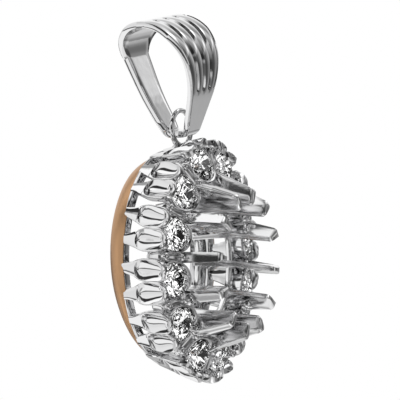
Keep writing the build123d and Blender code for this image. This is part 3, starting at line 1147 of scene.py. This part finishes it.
class PENDANT_OT_rails(bpy.types.Operator):
    """Builds the base rail and the two rails of the head"""

    bl_idname = "pendant.rails"
    bl_label = "Rails"

    def execute(self, context):
        gallery = context.scene.pendant_gallery
        head = context.scene.pendant_head
        centre = halo_centre(head)
        base = centre + Vector((0.0, gallery.front, gallery.rise))
        mesh = oval_rail(gallery.half_width - gallery.lip, gallery.half_height - gallery.lip, gallery.wall,
                         gallery.thickness, BASE_RAIL_ROUNDING, base, white_gold())
        piece("base_rail", mesh, None, "pendant", "white_gold", "setting")
        half_width = head.stone_width / 2 + head.margin
        half_height = head.stone_length / 2 + head.margin
        rails = (("head_upper_rail", head.upper, 0.0), ("head_lower_rail", head.lower, head.inset))
        for name, depth, inset in rails:
            mesh = oval_rail(half_width - inset, half_height - inset, head.rail_wall, head.rail_height,
                             HEAD_RAIL_ROUNDING, centre + BACK * depth, white_gold_satin_lightened())
            piece(name, mesh, None, "pendant", "white_gold")
        return {"FINISHED"}


# A bridge: how far it stands outwards, how much longer it is than its beads are apart, and rounding.
BRIDGE_SHIFT = 0.1 * MM
BRIDGE_OVERHANG = 0.7 * MM
BRIDGE_ROUNDING = 0.3 * MM


class PENDANT_OT_seats(bpy.types.Operator):
    """Builds the seats of the brilliants, with the bridges and the beads between them"""

    bl_idname = "pendant.seats"
    bl_label = "Seats"

    def execute(self, context):
        halo = context.scene.pendant_halo
        whole = (1.0, 1.0, 1.0)
        seats = [(seat.point, seat.turned(), whole) for seat in halo_places(context, 0.5)]
        piece("seats", copies(cup_mesh(halo), seats, white_gold_satin_lightened()), None, "pendant", "white_gold")
        bridges = []
        beads = []
        for gap in halo_places(context, 0.0):
            middle = gap.at(across=BRIDGE_SHIFT, rise=halo.rise - halo.bridge_depth / 2)
            bridges.append((middle, gap.turned(), whole))
            for side in (-1, 1):
                beads.append((gap.at(across=side * halo.bead_spread / 2), gap.turned(), whole))
        size = (halo.bridge, halo.bead_spread + BRIDGE_OVERHANG, halo.bridge_depth)
        block = rounded_box(size, BRIDGE_ROUNDING, segments=5)
        piece("bridges", copies(block, bridges, white_gold()), None, "pendant", "white_gold")
        piece("beads", copies(bead_mesh(halo), beads, white_gold()), None, "pendant", "white_gold")
        return {"FINISHED"}


class PENDANT_OT_head(bpy.types.Operator):
    """Builds the twelve plates of the head with their prongs"""

    bl_idname = "pendant.head"
    bl_label = "Head"

    def execute(self, context):
        halo = context.scene.pendant_halo
        plates = []
        for gap, angle in zip(halo_places(context, 0.0), full_turn(halo.stones)):
            plates.append(plate_mesh(context, gap, angle))
        item = piece("head_plates", joined(plates), white_gold_satin_lightened(), "pendant", "white_gold")
        item.data.materials.append(white_gold())
        return {"FINISHED"}


# The ring's wire swells towards its foot, which is a small block. It has so many sections of so many points.
RING_SWELL = 0.35
RING_FOOT_WIDTH = 1.9 * MM
RING_FOOT_DEPTH = 0.6 * MM
RING_FOOT_ROUNDING = 0.18 * MM
RING_STEPS = 64
WIRE_POINTS = 16


class PENDANT_OT_ring(bpy.types.Operator):
    """Builds the ring that the bail hangs on, with its soldered foot"""

    bl_idname = "pendant.ring"
    bl_label = "Top ring"

    def execute(self, context):
        bail = context.scene.pendant_bail
        gallery = context.scene.pendant_gallery
        centre = halo_centre(context.scene.pendant_head)
        sections = []
        for angle in full_turn(RING_STEPS):
            out = Vector((math.sin(angle), 0.0, -math.cos(angle)))
            thick = bail.wire / 2 * (1.0 + RING_SWELL * max(0.0, math.cos(angle)) ** 3)
            section = []
            for around in full_turn(WIRE_POINTS):
                offset = out * math.cos(around) * thick + BACK * math.sin(around) * thick
                section.append(RING + out * (bail.ring / 2) + offset)
            sections.append(section)
        piece("top_ring", mesh_of("ring", *skin(sections)), white_gold(), "pendant", "white_gold")
        top = RING.z - bail.ring / 2
        bottom = centre.z + gallery.rise + gallery.half_height - gallery.wall
        size = (RING_FOOT_WIDTH, RING_FOOT_DEPTH, top - bottom)
        block = rounded_box(size, RING_FOOT_ROUNDING, segments=4)
        block.transform(Matrix.Translation((RING.x, RING.y, (top + bottom) / 2)))
        piece("ring_foot", block, white_gold(), "pendant", "white_gold")
        return {"FINISHED"}


# The band: number of sections round it, rounding of its edges, start and play of its lip over the rail, and
# power by which its side bulges.
BAND_STEPS = 200
BAND_EDGE = 0.08 * MM
LIP_START = 0.02 * MM
LIP_PLAY = 0.01 * MM
BAND_BULGE = 1.9


def band_profile(gallery):
    """Rows of the band's section as shares of its height and of its taper, with the distance inwards.

    The first list is the outer side with its lip over the rail, the second the inner side.
    """
    edge = BAND_EDGE / gallery.band_height
    fore = -(gallery.thickness + gallery.band_gap - LIP_START) / gallery.band_height
    thin = gallery.lip - LIP_PLAY
    outer = [(0.0, 0.0, thin), (fore, 0.0, thin), (fore, 0.0, LIP_START), (fore * 0.94, 0.0, 0.0)]
    outer.append((edge, 0.0, 0.0))
    steps = 14
    for step in range(1, steps + 1):
        part = step / steps
        outer.append((edge + part * 0.93, part ** BAND_BULGE, 0.0))
    outer.append((1.0, 1.0, BAND_EDGE))
    wall = gallery.band_wall
    inner = [(1.0, 1.0, wall - BAND_EDGE), (0.97, 0.97, wall), (0.5, 0.25, wall), (0.0, 0.0, wall)]
    return outer, inner


class PENDANT_OT_band(bpy.types.Operator):
    """Builds the rose gold band behind the rail, with white gold on its inner side"""

    bl_idname = "pendant.band"
    bl_label = "Rose gold band"

    def execute(self, context):
        gallery = context.scene.pendant_gallery
        centre = halo_centre(context.scene.pendant_head)
        front = gallery.front + gallery.thickness + gallery.band_gap
        outer, inner = band_profile(gallery)
        sections = []
        for angle in full_turn(BAND_STEPS):
            section = []
            for height, taper, inset in outer + inner:
                half_width = gallery.half_width - gallery.band_side * taper - inset
                half_height = gallery.half_height - gallery.band_short - gallery.band_end * taper - inset
                lift = gallery.rise + gallery.band_lift * taper
                place = centre + Vector((0.0, front + gallery.band_height * height, lift))
                section.append(place + oval_point(half_width, half_height, angle))
            sections.append(section)
        mesh = mesh_of("band", *skin(sections))
        piece("rose_band", mesh, rose_gold(), "pendant", "rose_gold", "back_band")
        mesh.materials.append(white_gold())
        size = len(outer) + len(inner)
        for index, face in enumerate(mesh.polygons):
            if len(outer) <= index % size < size - 1:
                face.material_index = 1
        return {"FINISHED"}


class PENDANT_OT_stones(bpy.types.Operator):
    """Gives the cut brilliants their clear finish"""

    bl_idname = "pendant.stones"
    bl_label = "Brilliants"

    def execute(self, context):
        material = brilliant()
        for name, node in frame["nodes"].items():
            if name.startswith("stone_"):
                node.data.materials.clear()
                node.data.materials.append(material)
        return {"FINISHED"}


# Panels that the metal mirrors, set for the photograph's view: degrees round the Y axis from +X
# over +Z, and brightness. They stand behind the pendant, beside it and before it.
PANELS_AFT = (
    (-180, 0.75), (-170, 0.7), (-154, 0.75), (-151, 0.12), (-143, 0.12), (-140, 0.85), (-96, 0.85),
    (-92, 0.04), (-76, 0.04), (-72, 0.6), (-58, 0.6), (-45, 0.4), (-20, 0.4), (-7, 0.05), (7, 0.05),
    (15, 0.7), (50, 0.8), (72, 0.3), (94, 0.35), (97, 1.0), (122, 0.95), (125, 0.03), (145, 0.03),
    (149, 0.8), (180, 0.75),
)
PANELS_SIDE = (
    (-180, 0.62), (-157, 0.78), (-149, 0.78), (-146, 0.05), (-137, 0.05), (-134, 0.75), (-128, 0.33),
    (-115, 0.3), (-111, 0.75), (-84, 0.7), (-79, 0.3), (-72, 0.35), (-69, 0.75), (-56, 0.75), (-48, 0.5),
    (-14, 0.55), (-9, 0.04), (8, 0.04), (13, 0.8), (34, 0.8), (45, 0.5), (64, 0.66), (68, 0.06),
    (76, 0.06), (80, 0.75), (104, 0.85), (127, 0.85), (130, 0.04), (145, 0.04), (149, 0.85), (168, 0.5),
    (180, 0.62),
)
PANELS_BEFORE = (
    (-180, 0.04), (-173, 0.04), (-169, 0.45), (-164, 0.1), (-156, 0.1), (-151, 0.5), (-140, 0.25),
    (-120, 0.6), (-80, 0.5), (-60, 0.3), (-44, 0.12), (-30, 0.15), (-24, 0.3), (-16, 0.22), (-10, 0.16),
    (8, 0.14), (16, 0.2), (27, 0.24), (30, 0.55), (33, 0.5), (37, 0.24), (52, 0.28), (56, 0.8), (72, 0.8),
    (80, 0.1), (92, 0.1), (97, 0.7), (116, 0.5), (121, 0.04), (146, 0.04), (150, 0.5), (180, 0.04),
)
# Where each set passes into the next, and where the plain poles start, as the share of a direction along Y.
SIDE_START = (-0.1, 0.15)
AFT_START = (0.56, 0.6)
POLE_START = (0.92, 0.98)
POLE_LEVEL = 0.55
# Brightness of a curtain from before the pendant to behind it; how much black flags cover at each bearing and
# height, and how bright they are.
CURTAIN = (
    (0.0, 0.38), (0.17, 0.38), (0.21, 1.0), (0.25, 1.0), (0.32, 1.9), (0.38, 1.9), (0.4, 1.0), (1.0, 1.0),
)
FLAG_TURN = (
    (-180, 1.0), (-166, 1.0), (-163, 0.0), (-14, 0.0), (-12, 1.0), (-3, 1.0), (-1, 0.0), (152, 0.0),
    (155, 1.0), (180, 1.0),
)
FLAG_HEIGHT = ((0.0, 1.0), (0.2, 1.0), (0.26, 0.0), (1.0, 0.0))
FLAG_LEVEL = 0.03
STUDIO_STRENGTH = 1.3
# The pattern of small lamps that is seen through the stones.
SPARKLE_SCALE = 15.0
SPARKLE_LEVELS = ((0.0, 0.0), (0.41, 0.0), (0.43, 0.45), (0.47, 0.55), (0.5, 1.0), (1.0, 1.0))
SPARKLE_STRENGTH = 1.9


def grey(level):
    """Opaque grey of one brightness."""
    return (level, level, level, 1.0)


def ramp_node(tree, value, stops):
    """Grey that follows a value through stops, given as pairs of place and brightness."""
    ramp = tree.nodes.new("ShaderNodeValToRGB")
    elements = ramp.color_ramp.elements
    elements.remove(elements[1])
    elements[0].position = stops[0][0]
    elements[0].color = grey(stops[0][1])
    for place, level in stops[1:]:
        elements.new(place).color = grey(level)
    tree.links.new(value, ramp.inputs["Fac"])
    return ramp.outputs["Color"]


def circle_node(tree, upwards, sideways, stops):
    """Grey that follows the bearing of two directions through stops in degrees."""
    bearing = math_node(tree, "ARCTAN2", upwards, sideways)
    shares = [((degrees + 180) / 360, level) for degrees, level in stops]
    return ramp_node(tree, range_node(tree, bearing, -math.pi, math.pi, "From"), shares)


def math_node(tree, operation, *values):
    """Result of a sum on numbers or sockets."""
    return add_node(tree, "ShaderNodeMath", dict(enumerate(values)), operation=operation)["Value"]


def light_node(tree, tone, strength):
    """Light of the world with a colour and a strength."""
    return add_node(tree, "ShaderNodeBackground", {"Color": tone, "Strength": strength})["Background"]


def either_node(tree, factor, first, second):
    """First light where the factor is 0, the second where it is 1 or more."""
    return add_node(tree, "ShaderNodeMixShader", {"Fac": factor, 1: first, 2: second})["Shader"]


def studio_colour(tree, x, y, z):
    """Brightness of the studio in a direction: panels, a curtain in front, plain poles and black flags."""
    before = circle_node(tree, z, x, PANELS_BEFORE)
    beside = circle_node(tree, z, x, PANELS_SIDE)
    aft = circle_node(tree, z, x, PANELS_AFT)
    front = mix_node(tree, range_node(tree, y, *SIDE_START, "From"), before, beside)
    whole = mix_node(tree, range_node(tree, y, *AFT_START, "From"), front, aft)
    curtain = ramp_node(tree, range_node(tree, y, -1.0, 1.0, "From"), CURTAIN)
    curtained = mix_node(tree, 1.0, whole, curtain, "MULTIPLY")
    pole = range_node(tree, math_node(tree, "ABSOLUTE", y), *POLE_START, "From")
    capped = mix_node(tree, pole, curtained, grey(POLE_LEVEL))
    height = ramp_node(tree, math_node(tree, "ABSOLUTE", z), FLAG_HEIGHT)
    flag = math_node(tree, "MULTIPLY", circle_node(tree, y, x, FLAG_TURN), height)
    return mix_node(tree, flag, capped, grey(FLAG_LEVEL))


def studio_world(scene):
    """White for the camera and the floor, the studio's panels for the metal, small lamps for the stones."""
    world = bpy.data.worlds.new("studio")
    scene.world = world
    world.use_nodes = True
    tree = world.node_tree
    tree.nodes.clear()
    direction = add_node(tree, "ShaderNodeTexCoord", {})["Generated"]
    parts = add_node(tree, "ShaderNodeSeparateXYZ", {"Vector": direction})
    studio = light_node(tree, studio_colour(tree, parts["X"], parts["Y"], parts["Z"]), STUDIO_STRENGTH)
    cells = add_node(tree, "ShaderNodeTexVoronoi", {"Vector": direction, "Scale": SPARKLE_SCALE})["Color"]
    sparkle = light_node(tree, ramp_node(tree, cells, SPARKLE_LEVELS), SPARKLE_STRENGTH)
    rays = add_node(tree, "ShaderNodeLightPath", {})
    mirrored = either_node(tree, rays["Transmission Depth"], studio, sparkle)
    plain = math_node(tree, "MAXIMUM", rays["Is Camera Ray"], rays["Is Diffuse Ray"])
    seen = either_node(tree, plain, mirrored, light_node(tree, grey(1.0), 1.0))
    add_node(tree, "ShaderNodeOutputWorld", {"Surface": seen})


def studio_camera(context):
    """Camera at the photograph's angle."""
    studio = context.scene.pendant_studio
    centre = halo_centre(context.scene.pendant_head)
    level = math.cos(studio.elevation)
    back = Vector((math.sin(studio.azimuth) * level, -math.cos(studio.azimuth) * level,
                   math.sin(studio.elevation)))
    right = Vector((math.cos(studio.azimuth), math.sin(studio.azimuth), 0.0))
    up = back.cross(right)
    turned_right = right * math.cos(studio.roll) - up * math.sin(studio.roll)
    turned_up = right * math.sin(studio.roll) + up * math.cos(studio.roll)
    focal = studio.scale / MM * studio.distance
    half = studio.picture / 2
    aim = -back * focal + turned_right * (half - studio.centre_u) + turned_up * (studio.centre_v - half)
    aim.normalize()
    side = aim.cross(turned_up).normalized()
    top = side.cross(aim)
    data = bpy.data.cameras.new("camera")
    data.sensor_width = 36.0
    data.lens = data.sensor_width * focal / studio.picture
    data.clip_start = MM
    camera = bpy.data.objects.new("camera", data)
    context.scene.collection.objects.link(camera)
    spot = Matrix.Translation(centre + back * studio.distance)
    camera.matrix_world = spot @ Matrix((side, top, -aim)).transposed().to_4x4()
    context.scene.camera = camera


# Half the floor's side, its colour and the grain of its finish.
FLOOR_HALF = 400 * MM
FLOOR_TONE = (0.9, 0.9, 0.9)
FLOOR_GRAIN = 20 * MM
# Name, place from the halo's middle and size in millimetres, and power in watts.
LAMPS = (
    ("key", (-60, -110, 60), 90, 0.052),
    ("fill", (-150, 30, 10), 70, 0.024),
    ("rim", (90, 60, 70), 60, 0.024),
)


def hide_from_mirrors(item):
    """Keeps a piece of the stage out of the metal's and the stones' reflections."""
    item.visible_glossy = False
    item.visible_transmission = False
    bpy.context.scene.collection.objects.link(item)


def studio_floor(scene):
    """Pale floor below the pendant."""
    low = CAD_BOX[0][2] - scene.pendant_studio.floor_gap
    corners = [(-FLOOR_HALF, -FLOOR_HALF, low), (FLOOR_HALF, -FLOOR_HALF, low),
               (FLOOR_HALF, FLOOR_HALF, low), (-FLOOR_HALF, FLOOR_HALF, low)]
    mesh = bpy.data.meshes.new("floor")
    mesh.from_pydata(corners, [], [(0, 1, 2, 3)])
    material, tree, shader = new_material("floor_white", FLOOR_TONE, {})
    add_clouds(tree, shader, size=FLOOR_GRAIN, low=0.85, high=0.95)
    mesh.materials.append(material)
    floor = bpy.data.objects.new("floor", mesh)
    hide_from_mirrors(floor)


def studio_lamps(scene):
    """Soft lamps that face the halo's middle."""
    middle = halo_centre(scene.pendant_head)
    for name, place, size, power in LAMPS:
        data = bpy.data.lights.new(name, "AREA")
        data.size = size * MM
        data.energy = power
        lamp = bpy.data.objects.new(name, data)
        lamp.location = middle + Vector(place) * MM
        lamp.rotation_euler = (middle - lamp.location).to_track_quat("-Z", "Y").to_euler()
        hide_from_mirrors(lamp)


class PENDANT_OT_stage(bpy.types.Operator):
    """Sets the camera, the light and the floor"""

    bl_idname = "pendant.stage"
    bl_label = "Stage"

    def execute(self, context):
        studio_camera(context)
        studio_world(context.scene)
        studio_floor(context.scene)
        studio_lamps(context.scene)
        context.scene.view_settings.view_transform = "Standard"
        return {"FINISHED"}


class PENDANT_PT_panel(bpy.types.Panel):
    """Sizes, colours and pieces of the pendant"""

    bl_idname = "PENDANT_PT_panel"
    bl_label = "Pendant"
    bl_space_type = "VIEW_3D"
    bl_region_type = "UI"
    bl_category = "Pendant"

    def draw(self, context):
        for title, name, group in GROUPS:
            box = self.layout.box()
            box.label(text=title)
            for key in group.__annotations__:
                box.prop(getattr(context.scene, name), key)
        for operator in OPERATORS:
            self.layout.operator(operator.bl_idname)


GROUPS = (
    ("Halo", "pendant_halo", PENDANT_PG_halo),
    ("Gallery", "pendant_gallery", PENDANT_PG_gallery),
    ("Head", "pendant_head", PENDANT_PG_head),
    ("Bail", "pendant_bail", PENDANT_PG_bail),
    ("Finish", "pendant_finish", PENDANT_PG_finish),
    ("Studio", "pendant_studio", PENDANT_PG_studio),
)
OPERATORS = (
    PENDANT_OT_bail,
    PENDANT_OT_flutes,
    PENDANT_OT_rails,
    PENDANT_OT_seats,
    PENDANT_OT_head,
    PENDANT_OT_ring,
    PENDANT_OT_band,
    PENDANT_OT_stones,
    PENDANT_OT_stage,
)


def register():
    """Registers the classes and hangs the sizes on the scene."""
    for title, name, group in GROUPS:
        bpy.utils.register_class(group)
        setattr(bpy.types.Scene, name, PointerProperty(type=group))
    for item in OPERATORS + (PENDANT_PT_panel,):
        bpy.utils.register_class(item)


def unregister():
    """Takes the classes and the sizes away again."""
    for item in (PENDANT_PT_panel,) + OPERATORS[::-1]:
        bpy.utils.unregister_class(item)
    for title, name, group in GROUPS[::-1]:
        delattr(bpy.types.Scene, name)
        bpy.utils.unregister_class(group)


def main():
    """Builds the pendant and its stage."""
    register()
    bpy.ops.pendant.bail()
    bpy.ops.pendant.flutes()
    bpy.ops.pendant.rails()
    bpy.ops.pendant.seats()
    bpy.ops.pendant.head()
    bpy.ops.pendant.ring()
    bpy.ops.pendant.band()
    bpy.ops.pendant.stones()
    bpy.ops.pendant.stage()


if __name__ == "__main__":
    main()
